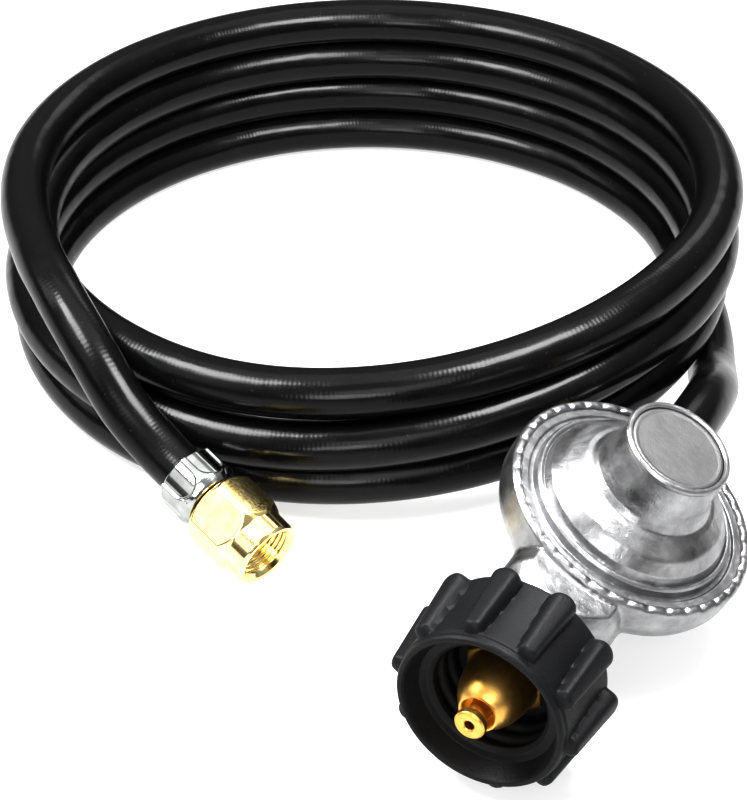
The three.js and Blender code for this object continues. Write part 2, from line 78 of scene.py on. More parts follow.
NUT_PIVOT = Vector(JOINT["tank_nut_spin"]["pos_m"])
CROSSING = Vector((NUT_PIVOT.x, middle("regulator_cover").y, NUT_PIVOT.z))
PLAN = Vector((CROSSING.x, CROSSING.y, 0))
BONNET_AXIS = Vector(JOINT["diaphragm_slide"]["axis"])
FLARE_MOUTH = Vector(JOINT["flare_nut_spin"]["pos_m"])
FLARE_AXIS = Vector(JOINT["flare_nut_spin"]["axis"])
COIL_CENTRE = middle("hose_coil")

# Local axes: the regulator leans with its bonnet, the tank nut stands upright, and the flare fitting points
# along +Y
LEAN = math.atan2(BONNET_AXIS.x, BONNET_AXIS.z)
IN_REGULATOR = Matrix.Translation(CROSSING) @ Matrix.Rotation(LEAN, 4, "Y")
IN_NUT = Matrix.Translation(CROSSING)
FLARE_TURN = Vector((0, 1, 0)).rotation_difference(FLARE_AXIS)
IN_FLARE = Matrix.Translation(FLARE_MOUTH) @ FLARE_TURN.to_matrix().to_4x4()


# ---------------------------------------------------------------------------------------------------------
# Camera
# ---------------------------------------------------------------------------------------------------------

CAMERA_FROM_CROSSING = (0.1756, -0.4593)
CAMERA_HEIGHT = 0.406
CAMERA_HEADING = Vector((-0.4720, 0.8817, 0))
CAMERA_TILT = math.radians(34.6)
CAMERA_LENS = 106.1


def add_camera():
    data = bpy.data.cameras.new("camera")
    data.lens = CAMERA_LENS
    data.clip_start = 0.01
    camera = bpy.data.objects.new("camera", data)
    bpy.context.scene.collection.objects.link(camera)
    x, y = CAMERA_FROM_CROSSING
    camera.location = (CROSSING.x + x, CROSSING.y + y, CAMERA_HEIGHT)
    look = CAMERA_HEADING.normalized() * math.cos(CAMERA_TILT) - Vector((0, 0, math.sin(CAMERA_TILT)))
    camera.rotation_euler = look.to_track_quat("-Z", "Y").to_euler()
    bpy.context.scene.camera = camera


# ---------------------------------------------------------------------------------------------------------
# Mesh helpers
# ---------------------------------------------------------------------------------------------------------

def smooth_step(value):
    value = np.clip(value, 0, 1)
    return value * value * (3 - 2 * value)


def soft_min(a, b, blend):
    mix = np.clip(0.5 + 0.5 * (b - a) / blend, 0, 1)
    return b + (a - b) * mix - blend * mix * (1 - mix)


def signed_volume(points, faces):
    total = 0.0
    for face in faces:
        for k in range(1, len(face) - 1):
            a, b, c = points[face[0]], points[face[k]], points[face[k + 1]]
            total += a[0] * (b[1] * c[2] - b[2] * c[1])
            total += a[1] * (b[2] * c[0] - b[0] * c[2])
            total += a[2] * (b[0] * c[1] - b[1] * c[0])
    return total


def mesh_object(name, points, faces, place=Matrix.Identity(4), sharp=SHARP_ANGLE):
    """A smooth-shaded object with outward faces; edges sharper than the angle stay crisp."""
    points = np.asarray(points, float).tolist()
    if signed_volume(points, faces) < 0:
        faces = [face[::-1] for face in faces]
    mesh = bpy.data.meshes.new(name)
    mesh.from_pydata(points, [], faces)
    mesh.shade_smooth()
    mesh.set_sharp_from_angle(angle=math.radians(sharp))
    made = bpy.data.objects.new(name, mesh)
    bpy.context.scene.collection.objects.link(made)
    made.matrix_world = place
    return made


def arc(centre, radius, start, end, steps=6):
    """Outline points on an arc, from one angle to another in degrees."""
    angles = [math.radians(start + (end - start) * k / steps) for k in range(steps + 1)]
    return [(centre[0] + radius * math.cos(a), centre[1] + radius * math.sin(a)) for a in angles]


def rounded(outline, radius=0.3, steps=3):
    """The outline with rounded corners. A third value in a point is that corner's own radius."""
    count = len(outline)
    is_loop = outline[0][0] > 0
    made = []
    for k, corner in enumerate(outline):
        here = np.array(corner[:2], float)
        size = corner[2] if len(corner) > 2 else radius
        if size == 0 or (not is_loop and k in (0, count - 1)):
            made.append(tuple(here))
            continue
        before = np.array(outline[k - 1][:2], float) - here
        after = np.array(outline[(k + 1) % count][:2], float) - here
        reach = 0.45 * min(np.linalg.norm(before), np.linalg.norm(after))
        before /= np.linalg.norm(before)
        after /= np.linalg.norm(after)
        half = math.acos(np.clip(before @ after, -1, 1)) / 2
        if half > 1.5:
            made.append(tuple(here))
            continue
        reach = min(reach, size / math.tan(half))
        first, last = here + before * reach, here + after * reach
        for step in range(steps + 1):
            t = step / steps
            made.append(tuple((1 - t) ** 2 * first + 2 * t * (1 - t) * here + t * t * last))
    return made


def fine(outline, step):
    """The outline with points no further apart than the step."""
    is_loop = outline[0][0] > 0
    ends = outline[1:] + outline[:1] if is_loop else outline[1:]
    made = []
    for a, b in zip(outline, ends):
        count = max(1, math.ceil(math.dist(a, b) / step))
        for k in range(count):
            t = k / count
            made.append((a[0] + (b[0] - a[0]) * t, a[1] + (b[1] - a[1]) * t))
    if not is_loop:
        made.append(tuple(outline[-1]))
    return made


def lathe_mesh(outline, around, shape=None, upright=False):
    """Points and faces of a solid turned about Y, or about Z if upright, from radius and height in mm."""
    rows = np.array(outline, float)
    angle = np.arange(around) * 2 * math.pi / around
    r, h, a = rows[:, :1] + 0 * angle, rows[:, 1:] + 0 * angle, angle + 0 * rows[:, :1]
    if shape:
        r, h = shape(r, h, a)
    across, up = r * np.cos(a), r * np.sin(a)
    grid = np.stack([across, up, h] if upright else [across, h, up], axis=2) * MM
    points = grid.reshape(-1, 3)
    index = np.arange(len(points)).reshape(len(rows), around)
    is_loop = rows[0, 0] > 0
    if not is_loop:
        index[0, :] = index[0, 0]
        index[-1, :] = index[-1, 0]
    following = np.roll(index, -1, axis=0) if is_loop else index[1:]
    current = index if is_loop else index[:-1]
    quads = np.stack([current, np.roll(current, -1, 1), np.roll(following, -1, 1), following], axis=2)
    faces = []
    for quad in quads.reshape(-1, 4).tolist():
        faces.append([v for k, v in enumerate(quad) if v != quad[k - 1]])
    used = sorted({v for face in faces for v in face})
    if len(used) < len(points):
        renumber = {old: new for new, old in enumerate(used)}
        faces = [[renumber[v] for v in face] for face in faces]
        points = points[used]
    return points, faces


def turned(name, outline, place, around=96, shape=None, upright=False, sharp=SHARP_ANGLE):
    points, faces = lathe_mesh(outline, around, shape, upright)
    return mesh_object(name, points, faces, place, sharp)


def carve(piece, tool, operation="DIFFERENCE"):
    """Cuts the tool out of the piece, or joins it, and removes the tool."""
    modifier = piece.modifiers.new("carve", "BOOLEAN")
    modifier.operation = operation
    modifier.solver = "MANIFOLD"
    modifier.object = tool
    bpy.context.view_layer.update()
    settle(piece)
    bpy.data.objects.remove(tool)


def settle(piece):
    """Applies the piece's modifiers."""
    graph = bpy.context.evaluated_depsgraph_get()
    mesh = bpy.data.meshes.new_from_object(piece.evaluated_get(graph))
    piece.modifiers.clear()
    piece.data = mesh
    mesh.shade_smooth()
    mesh.set_sharp_from_angle(angle=math.radians(SHARP_ANGLE))


def finish_piece(piece, body, slot, look, *nodes):
    """Gives a piece its body and material, and hides the CAD nodes that it stands for. The slot is not used.
    """
    piece.data.materials.clear()
    piece.data.materials.append(look)
    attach(piece, body)
    if nodes:
        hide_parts(*nodes)
    return piece


# ---------------------------------------------------------------------------------------------------------
# Materials
# ---------------------------------------------------------------------------------------------------------

def node(tree, kind, inputs=None, **settings):
    """A shader node; each input is a value or another node's output."""
    made = tree.nodes.new("ShaderNode" + kind)
    for key, value in settings.items():
        setattr(made, key, value)
    for key, value in (inputs or {}).items():
        if isinstance(value, bpy.types.NodeSocket):
            tree.links.new(value, made.inputs[key])
        else:
            made.inputs[key].default_value = value
    return made


def noise(tree, where, scale, detail=3.0, roughness=0.5, stretch=None):
    """A noise value; the scale is in features per metre."""
    if stretch:
        where = node(tree, "Mapping", {"Vector": where, "Scale": stretch}).outputs[0]
    inputs = {"Vector": where, "Scale": scale, "Detail": detail, "Roughness": roughness}
    return node(tree, "TexNoise", inputs).outputs[0]


def spread(tree, value, low, high, to_low=0.0, to_high=1.0):
    """The value spread from one range to another, and held inside it."""
    inputs = {"Value": value, "From Min": low, "From Max": high, "To Min": to_low, "To Max": to_high}
    return node(tree, "MapRange", inputs, clamp=True).outputs[0]


def mixed(tree, factor, first, second):
    made = tree.nodes.new("ShaderNodeMix")
    made.data_type = "RGBA"
    for key, value in ((0, factor), (6, first), (7, second)):
        if isinstance(value, bpy.types.NodeSocket):
            tree.links.new(value, made.inputs[key])
        else:
            made.inputs[key].default_value = (*value, 1) if key else value
    return made.outputs[2]


def bumped(tree, height, depth, normal=None):
    """A bump of that depth in metres, on top of an earlier one."""
    inputs = {"Height": height, "Strength": 1.0, "Distance": depth}
    if normal:
        inputs["Normal"] = normal
    return node(tree, "Bump", inputs).outputs[0]


def start_look(name, metallic, **sockets):
    """A new material, its tree, its shader and its object coordinates."""
    look = bpy.data.materials.new(name)
    look.use_nodes = True
    tree = look.node_tree
    shader = tree.nodes["Principled BSDF"]
    shader.inputs["Metallic"].default_value = metallic
    for key, value in sockets.items():
        shader.inputs[key.replace("_", " ")].default_value = value
    where = node(tree, "TexCoord").outputs["Object"]
    return look, tree, shader, where


def feed(tree, shader, **sockets):
    for key, value in sockets.items():
        tree.links.new(value, shader.inputs[key.replace("_", " ")])


def hose_look():
    """Glossy black rubber with a fine cross ripple from its wrapping, and a little dust."""
    look, tree, shader, where = start_look("hose_rubber", 0.0, Specular_IOR_Level=0.24)
    along = node(tree, "UVMap").outputs[0]
    wave = {"Vector": along, "Scale": 240.0, "Distortion": 2.2, "Detail": 2.0, "Detail Scale": 0.6}
    ripple = node(tree, "TexWave", wave, wave_type="BANDS", bands_direction="X").outputs[1]
    strands = noise(tree, along, 1.0, 2.0, 0.5, stretch=(45, 500, 1))
    swell = noise(tree, where, 60, 2.0)
    patches = noise(tree, where, 45, 4.0, 0.6)
    normal = bumped(tree, ripple, 0.000011)
    normal = bumped(tree, strands, 0.00006, normal)
    normal = bumped(tree, swell, 0.0005, normal)
    dust = spread(tree, noise(tree, where, 1100, 2.0), 0.70, 0.8)
    colour = mixed(tree, patches, (0.0015, 0.0015, 0.0018), (0.004, 0.004, 0.0043))
    colour = mixed(tree, dust, colour, (0.03, 0.03, 0.03))
    rough = spread(tree, patches, 0.3, 0.7, 0.17, 0.27)
    feed(tree, shader, Base_Color=colour, Roughness=rough, Normal=normal)
    return look


def cast_look(name, light, dark, shine, lumps=0.00022):
    """Die-cast metal: mottled, a little pitted, with cloudy stains."""
    look, tree, shader, where = start_look(name, 1.0)
    clouds = noise(tree, where, 110, 5.0, 0.65)
    flow = noise(tree, where, 260, 4.0, 0.6)
    grain = noise(tree, where, 2600, 2.0)
    pits = spread(tree, noise(tree, where, 1100, 2.0), 0.76, 0.84)
    colour = mixed(tree, spread(tree, clouds, 0.32, 0.68), dark, light)
    colour = mixed(tree, pits, colour, [0.5 * c for c in dark])
    rough = spread(tree, flow, 0.3, 0.7, *shine)
    normal = bumped(tree, flow, lumps)
    normal = bumped(tree, grain, 0.00004, normal)
    feed(tree, shader, Base_Color=colour, Roughness=rough, Normal=normal)
    return look


def turned_metal_look(name, light, dark, shine, marks=0.00002, tint=None):
    """Turned or plated metal: fine marks round the axis, small colour changes and faint tarnish."""
    look, tree, shader, where = start_look(name, 1.0)
    rings = noise(tree, where, 1.0, 2.0, 0.5, stretch=(60, 3600, 60))
    clouds = noise(tree, where, 220, 3.0)
    specks = noise(tree, where, 1500, 2.0)
    colour = mixed(tree, spread(tree, clouds, 0.3, 0.7), dark, light)
    if tint:
        bands = noise(tree, where, 120, 2.0, 0.5, stretch=(1, 2.2, 1))
        colour = mixed(tree, spread(tree, bands, 0.55, 0.75, 0.0, 0.5), colour, tint)
    rough = spread(tree, specks, 0.35, 0.7, *shine)
    normal = bumped(tree, rings, marks)
    feed(tree, shader, Base_Color=colour, Roughness=rough, Normal=normal)
    return look


def plastic_look(name, light, dark, shine):
    """Moulded plastic with a fine spark-eroded grain and pale scuffs."""
    look, tree, shader, where = start_look(name, 0.0, Specular_IOR_Level=0.25)
    fine_grain = noise(tree, where, 1900, 2.0)
    clouds = noise(tree, where, 70, 4.0)
    scuffs = spread(tree, noise(tree, where, 500, 5.0, 0.7), 0.6, 0.85)
    colour = mixed(tree, clouds, dark, light)
    colour = mixed(tree, scuffs, colour, [min(1, 1.7 * c) for c in light])
    rough = spread(tree, fine_grain, 0.3, 0.7, *shine)
    normal = bumped(tree, fine_grain, 0.00006)
    feed(tree, shader, Base_Color=colour, Roughness=rough, Normal=normal)
    return look


# ---------------------------------------------------------------------------------------------------------
# Hose
# ---------------------------------------------------------------------------------------------------------

HOSE_D = 0.0145
HOSE_BORE_R = 0.0043
HOSE_AROUND = 40
END_CHAMFER = 0.0006
ROUTE_STEP = 0.0025
BARB_DEPTH = 0.0115

# From the outlet ferrule down to the foot of the coil, from the crossing in plan
OUTLET_TAIL = [
    (0, 0.0381, 0.027),
    (0, 0.0445, 0.027),
    (0, 0.051, 0.027),
    (-0.0001, 0.0585, 0.02675),
    (-0.0006, 0.066, 0.02577),
    (-0.0016, 0.0735, 0.024),
    (-0.0033, 0.082, 0.0211),
    (-0.0056, 0.09, 0.0175),
    (-0.0087, 0.0986, 0.0135),
    (-0.0134, 0.1101, 0.0097),
    (-0.0192, 0.1239, 0.0076),
    (-0.0258, 0.1372, 0.0074),
    (-0.0333, 0.1494, 0.0074),
]

# From the top of the coil down to the flare ferrule
FLARE_TAIL = [
    (-0.2012, 0.027, 0.051),
    (-0.1927, 0.018, 0.0513),
    (-0.1842, 0.0096, 0.052),
    (-0.1756, 0.0025, 0.0517),
    (-0.1667, -0.0041, 0.0497),
    (-0.1571, -0.0099, 0.0455),
    (-0.1474, -0.0146, 0.0389),
    (-0.1388, -0.0175, 0.0317),
    (-0.1291, -0.0194, 0.0252),
]
FLARE_STRAIGHT = (0.0355, 0.030, 0.0244)

# The coil's radius at each quarter turn from its top, and the turns in which it drops a layer
COIL_START = math.radians(215.05)
QUARTER_RADII = [106, 106, 107, 106, 104, 107, 106.5, 110, 107, 110.5, 105, 107, 105, 110, 103]
COIL_TURNS = 3.5
POINTS_PER_TURN = 24
COIL_TOP = 0.051
LAYER = 0.01453
DROPS = [(0.59, 0.86), (1.62, 1.85), (2.55, 2.90)]


def natural_spline(knots, values, at):
    """Natural cubic spline through the values, one column each, at new places."""
    count = len(knots)
    gap = np.diff(knots)
    system = np.eye(count)
    right = np.zeros((count, values.shape[1]))
    slope = np.diff(values, axis=0) / gap[:, None]
    for k in range(1, count - 1):
        system[k, k - 1:k + 2] = gap[k - 1], 2 * (gap[k - 1] + gap[k]), gap[k]
        right[k] = 6 * (slope[k] - slope[k - 1])
    bend = np.linalg.solve(system, right)
    k = np.clip(np.searchsorted(knots, at) - 1, 0, count - 2)
    t = (at - knots[k])[:, None]
    width = gap[k][:, None]
    rest = width - t
    line = values[k] * rest / width + values[k + 1] * t / width
    before = bend[k] * (rest ** 3 / width - width * rest)
    after = bend[k + 1] * (t ** 3 / width - width * t)
    return line + (before + after) / 6


def coil_points():
    """The coil from its foot to its top."""
    quarters = np.arange(len(QUARTER_RADII)) / 4.0
    radii = np.array(QUARTER_RADII, float)[:, None] * MM
    turns = np.arange(round(COIL_TURNS * POINTS_PER_TURN), 0, -1) / POINTS_PER_TURN
    radius = natural_spline(quarters, radii, turns)[:, 0]
    points = []
    for n, r in zip(turns, radius):
        angle = COIL_START - 2 * math.pi * n
        height = COIL_TOP - LAYER * sum(smooth_step((n - a) / (b - a)) for a, b in DROPS)
        points.append((COIL_CENTRE.x + r * math.cos(angle), COIL_CENTRE.y + r * math.sin(angle), height))
    return points


def hose_route():
    """Points along the hose, a step apart, from the outlet ferrule to the flare ferrule."""
    points = [tuple(PLAN + Vector(p)) for p in OUTLET_TAIL]
    points += coil_points()
    points += [tuple(PLAN + Vector(p)) for p in FLARE_TAIL]
    points += [tuple(FLARE_MOUTH - FLARE_AXIS * distance) for distance in FLARE_STRAIGHT]
    points = np.array(points)
    knots = np.concatenate([[0], np.cumsum(np.linalg.norm(np.diff(points, axis=0), axis=1))])
    close = natural_spline(knots, points, np.linspace(0, knots[-1], 6000))
    length = np.concatenate([[0], np.cumsum(np.linalg.norm(np.diff(close, axis=0), axis=1))])
    even = np.linspace(0, length[-1], round(length[-1] / ROUTE_STEP) + 1)
    return np.stack([np.interp(even, length, close[:, k]) for k in range(3)], axis=1), even


def section_axes(route):
    """Two directions across the hose at each point, carried along without twist."""
    tangent = np.gradient(route, axis=0)
    tangent /= np.linalg.norm(tangent, axis=1)[:, None]
    side = np.cross(tangent[0], (0, 0, 1))
    side /= np.linalg.norm(side)
    sides = []
    for t in tangent:
        side = side - t * (side @ t)
        side = side / np.linalg.norm(side)
        sides.append(side)
    sides = np.array(sides)
    return sides, np.cross(tangent, sides), tangent


def add_hose(look):
    """The hose as one closed tube with a blind bore over the barb at each end."""
    route, length = hose_route()
    side, up, tangent = section_axes(route)
    end_r = HOSE_D / 2 - END_CHAMFER
    last = len(route) - 1
    stations = [(0, HOSE_BORE_R, BARB_DEPTH), (0, HOSE_BORE_R, 0), (0, end_r, 0)]
    stations += [(k, HOSE_D / 2, 0) for k in range(len(route))]
    stations += [(last, end_r, 0), (last, HOSE_BORE_R, 0), (last, HOSE_BORE_R, -BARB_DEPTH)]
    angle = np.arange(HOSE_AROUND) * 2 * math.pi / HOSE_AROUND
    points = []
    for k, radius, inward in stations:
        centre = route[k] + tangent[k] * inward
        points.append(centre + radius * (np.outer(np.cos(angle), side[k]) + np.outer(np.sin(angle), up[k])))
    points = np.concatenate(points)
    faces = []
    for row in range(len(stations) - 1):
        for j in range(HOSE_AROUND):
            a = row * HOSE_AROUND + j
            b = row * HOSE_AROUND + (j + 1) % HOSE_AROUND
            faces.append([a, b, b + HOSE_AROUND, a + HOSE_AROUND])
    faces.append(list(range(HOSE_AROUND))[::-1])
    faces.append([len(points) - HOSE_AROUND + j for j in range(HOSE_AROUND)])
    hose = mesh_object("hose", points, faces, sharp=50)
    add_hose_uv(hose.data, stations, length)
    return finish_piece(hose, "regulator", "hose_rubber", look, "hose_flare_end", "hose_coil",
                        "hose_regulator_end")


def add_hose_uv(mesh, stations, length):
    """U is the distance along the hose and V the distance round it, in metres."""
    layer = mesh.uv_layers.new(name="along")
    girth = math.pi * HOSE_D
    for polygon in mesh.polygons:
        columns = [mesh.loops[k].vertex_index % HOSE_AROUND for k in polygon.loop_indices]
        wraps = max(columns) == HOSE_AROUND - 1 and min(columns) == 0
        for k, column in zip(polygon.loop_indices, columns):
            row = mesh.loops[k].vertex_index // HOSE_AROUND
            turn = HOSE_AROUND if wraps and column == 0 else column
            layer.data[k].uv = (length[stations[row][0]], girth * turn / HOSE_AROUND)


# ---------------------------------------------------------------------------------------------------------
# Flare fitting: local y = 0 at the mouth, and the hose towards -y
# ---------------------------------------------------------------------------------------------------------

FLARE_HEX = 20.6
FLARE_THREAD_PITCH = INCH / 18
FLARE_NUT_TURN = math.radians(50.5)
FLARE_FERRULE = (-22.9, -34.5)
OUTLET_FERRULE = (36.6, 49.5)
FERRULE_R = 9.9
PANELS = 6
PANEL_TURN = math.radians(18.5)
PANEL_DEPTH = 0.7
PANEL_EDGE = 0.6
PANEL_SETBACK = 1.9
RIDGE_HALF = 0.6
PUNCH_MARK = (math.radians(-2.5), -25.6)
PUNCH_DEPTH = 0.6
PUNCH_HALF = (0.5, 0.9)


def hexagon(across_flats, blend, corner=0.0):
    """Trims a turned shape to a hexagon with a corner at that angle."""
    def shape(r, h, a):
        turn = np.mod(a - corner, math.pi / 3) - math.pi / 6
        return soft_min(r, across_flats / 2 / np.cos(turn), blend), h
    return shape


def threaded(shape, low, high, radius, depth, pitch, crest):
    """Adds a screw thread between two heights, where the outline is inside the given radius."""
    def with_thread(r, h, a):
        r, h = shape(r, h, a)
        phase = np.mod(h / pitch + a / (2 * math.pi), 1)
        wave = smooth_step((np.abs(phase - 0.5) * 2 - crest) / (1 - 2 * crest))
        inside = (r < radius) & (h > low) & (h < high)
        fade = smooth_step((h - low) / pitch) * smooth_step((high - h) / pitch)
        return np.where(inside, r + depth * wave * fade, r), h
    return with_thread


def add_flare_nut(look):
    outline = rounded([
        (5.6, -21.6),
        (8.0, -21.6, 0.6),
        (10.3, -21.4, 0.8),
        (11.95, -19.6, 1.2),
        (11.95, -9.2, 0.6),
        (9.95, -6.4, 0.5),
        (9.95, -0.9, 0.5),
        (9.4, 0, 0.3),
        (8.5, 0, 0.3),
        (7.3, -1.3, 0.2),
        (7.3, -9.6, 0.2),
        (7.9, -10.2, 0.2),
        (7.9, -13, 0.2),
        (5.6, -13, 0.2),
    ])
    flats = hexagon(FLARE_HEX, 0.35, FLARE_NUT_TURN)
    shape = threaded(flats, low=-9.9, high=-0.6, radius=7.4, depth=0.6, pitch=FLARE_THREAD_PITCH,
                     crest=0.0)
    nut = turned("flare_nut_hex", fine(outline, 0.13), IN_FLARE, 240, shape, sharp=40)
    return finish_piece(nut, "flare_nut", "yellow_zinc", look, "flare_nut")


def crimped(start, end, mark=None):
    """Presses long panels with one round end into a sleeve; start is at the fitting and end at the hose."""
    towards = math.copysign(1, end - start)
    half_width = FERRULE_R * math.pi / PANELS - RIDGE_HALF
    round_centre = start + towards * (PANEL_SETBACK + half_width)
    panel = 2 * math.pi / PANELS
    hose_r = HOSE_D / 2 / MM

    def shape(r, h, a):
        turn = np.mod(a - PANEL_TURN + panel / 2, panel) - panel / 2
        across = FERRULE_R * turn
        beyond = np.minimum(0, (h - round_centre) * towards)
        distance = np.hypot(across, beyond)
        press = smooth_step((half_width - distance) / PANEL_EDGE)
        outside = r > hose_r + 0.6
        made = np.where(outside, r - PANEL_DEPTH * press, r)
        if mark:
            round_it = (a - mark[0]) * FERRULE_R / PUNCH_HALF[0]
            along = (h - mark[1]) / PUNCH_HALF[1]
            dent = np.exp(-round_it ** 4 - along ** 4)
            made = np.where(outside, made - PUNCH_DEPTH * dent, made)
        return made, h
    return shape


def ferrule_outline(start, end):
    """A sleeve with an inturned lip and a rounded shoulder at the fitting's side."""
    towards = math.copysign(1, end - start)
    length = abs(end - start)
    points = [
        (4.3, 0),
        (8.5, 0, 0.4),
        (9.1, 0.9, 0.8),
        (FERRULE_R, 2.6, 1.4),
        (FERRULE_R, length - 0.4, 0.3),
        (FERRULE_R - 0.25, length, 0.2),
        (7.4, length, 0.1),
        (7.4, 1.3, 0.2),
        (4.3, 1.3, 0.1),
    ]
    return rounded([(p[0], start + towards * p[1], *p[2:]) for p in points])


def add_ferrule(name, start, end, place, look, node_name, mark=None):
    outline = fine(ferrule_outline(start, end), 0.3)
    sleeve = turned(name, outline, place, 300, crimped(start, end, mark), sharp=50)
    return finish_piece(sleeve, "regulator", "steel", look, node_name)


def add_flare_insert(look):
    """Swivel insert: hollow seat in the nut, collar behind it and a barb in the hose."""
    barbs = []
    for y in (-25, -28, -31):
        barbs += [(3.9, y, 0.1), (3.4, y - 2.5, 0.1)]
    outline = rounded([
        (6.4, -8.6, 0.2),
        (7.1, -9.2, 0.2),
        (7.1, -12.5, 0.2),
        (4.9, -12.5, 0.2),
        (4.9, -21.8, 0.1),
        (8, -21.8, 0.3),
        (8, -22.6, 0.3),
        (3.9, -22.6, 0.1),
        *barbs,
        (3.2, -33.8, 0.2),
        (2.4, -33.8, 0.2),
        (2.4, -12.6, 0.2),
    ])
    insert = turned("flare_swivel_insert", outline, IN_FLARE, 72)
    return finish_piece(insert, "regulator", "brass", look, "flare_insert")


# ---------------------------------------------------------------------------------------------------------
# Regulator casing
# ---------------------------------------------------------------------------------------------------------

WALL_R = 34.4
WALL_TOP = 13.3
STAKES = 38
LIP_R = 32.6
LIP_LOW = 12.2
NOTCH_HALF = 0.95
TOOTH_HALF = 1.7
INLET_END = -48
OUTLET_END = 35
BOSS_R = 12
BOSS_ROOT_R = 16.5
COVER_LOW = 11.2
TOWER_TOP = 37.8
SKIN_VOXEL = 0.42
SOFT_ROUNDS = 14
LIP_ROUNDS = 3


def staked(r, h, a):
    """Presses the lip over the cover in small notches, and leaves the casting's slight waver."""
    step = 2 * math.pi / STAKES
    turn = np.mod(a + step / 2, step) - step / 2
    notch = np.exp(-(turn * LIP_R / NOTCH_HALF) ** 2)
    tooth = np.exp(-(turn * LIP_R / TOOTH_HALF) ** 2)
    on_lip = smooth_step((h - LIP_LOW) / 0.8) * smooth_step((WALL_R - 0.3 - r) / 0.8)
    r = r - on_lip * (0.45 * tooth - 0.1)
    h = h - on_lip * (0.5 * notch - 0.2 * (tooth - notch))
    return r, h


def boss(name, end, taper):
    """A round boss from the middle of the body out to its end, thinner over its last stretch."""
    towards = math.copysign(1, end)
    length = abs(end)
    points = [
        (0, 0),
        (BOSS_ROOT_R, 0),
        (BOSS_ROOT_R, length - 11, 2.5),
        (BOSS_R, length - taper, 2.5),
        (BOSS_R, length, 0.8),
        (0, length),
    ]
    outline = rounded([(p[0], towards * p[1], *p[2:]) for p in points], 0.5)
    return turned(name, fine(outline, 1.0), IN_REGULATOR)


def body_shell():
    """Bowl and bosses in one skin, with a fillet where they meet."""
    bowl = rounded([
        (0, -15.5),
        (17.5, -15.5, 4),
        (22, -11.5, 3),
        (25.6, -8.2, 2),
        (29.4, -3, 3),
        (33.2, 1.8, 3),
        (WALL_R, 5, 1.5),
        (WALL_R, WALL_TOP - 0.9, 0.5),
        (33.6, WALL_TOP, 0.5),
        (32.4, WALL_TOP + 0.1, 0.4),
        (31.7, WALL_TOP - 0.4, 0.3),
        (31.7, 9.6, 0),
        (0, 9.6),
    ])
    piece = turned("regulator_casting", fine(bowl, 0.45), IN_REGULATOR, 380, staked, upright=True)
    inlet = boss("inlet_boss", INLET_END, 4)
    outlet = boss("outlet_boss", OUTLET_END, 5)
    above_bowl = [(0, 3), (WALL_R - 0.6, 3), (WALL_R - 0.6, 11.5), (60, 11.5), (60, 30), (0, 30)]
    for end in (inlet, outlet):
        carve(end, turned("above_bowl", above_bowl, IN_REGULATOR, 128, upright=True))
        carve(piece, end, "UNION")
    remesh = piece.modifiers.new("skin", "REMESH")
    remesh.mode = "VOXEL"
    remesh.voxel_size = SKIN_VOXEL * MM
    settle(piece)
    soften(piece)
    return piece


def soften(piece):
    """Relaxes the skin below the wall, so that the bosses run into the bowl as in a casting."""
    mesh = piece.data
    count = len(mesh.vertices)
    place = np.empty(count * 3)
    mesh.vertices.foreach_get("co", place)
    place = place.reshape(-1, 3)
    edges = np.empty(len(mesh.edges) * 2, int)
    mesh.edges.foreach_get("vertices", edges)
    a, b = edges.reshape(-1, 2).T
    links = np.bincount(a, minlength=count) + np.bincount(b, minlength=count)
    height = place[:, 2] / MM
    lip = smooth_step((height - 4) / 4)
    weight = (0.9 * (1 - lip) + 0.25 * lip)[:, None]
    for turn in range(SOFT_ROUNDS):
        total = np.zeros_like(place)
        np.add.at(total, a, place[b])
        np.add.at(total, b, place[a])
        mean = total / links[:, None]
        use = weight if turn < LIP_ROUNDS else weight * (1 - lip[:, None])
        place = place + (mean - place) * use * 0.8
    mesh.vertices.foreach_set("co", place.reshape(-1))
    mesh.update()


def add_body(look):
    piece = body_shell()
    hollow = [
        (0, -12),
        (16, -12),
        (16, -1),
        (23, -1),
        (26.5, 4),
        (26.5, 14),
        (0, 14),
    ]
    groove = [(25, 9.6), (33.3, 9.6), (33.3, 12.5), (25, 12.5)]
    carve(piece, turned("hollow", hollow, IN_REGULATOR, 96, upright=True))
    carve(piece, turned("groove", groove, IN_REGULATOR, 192, upright=True))
    for start, end in ((INLET_END - 1, -14), (14, OUTLET_END + 1)):
        carve(piece, turned("bore", [(0, start), (4.9, start), (4.9, end), (0, end)], IN_REGULATOR, 48))
    return finish_piece(piece, "regulator", "die_cast", look, "regulator_body")


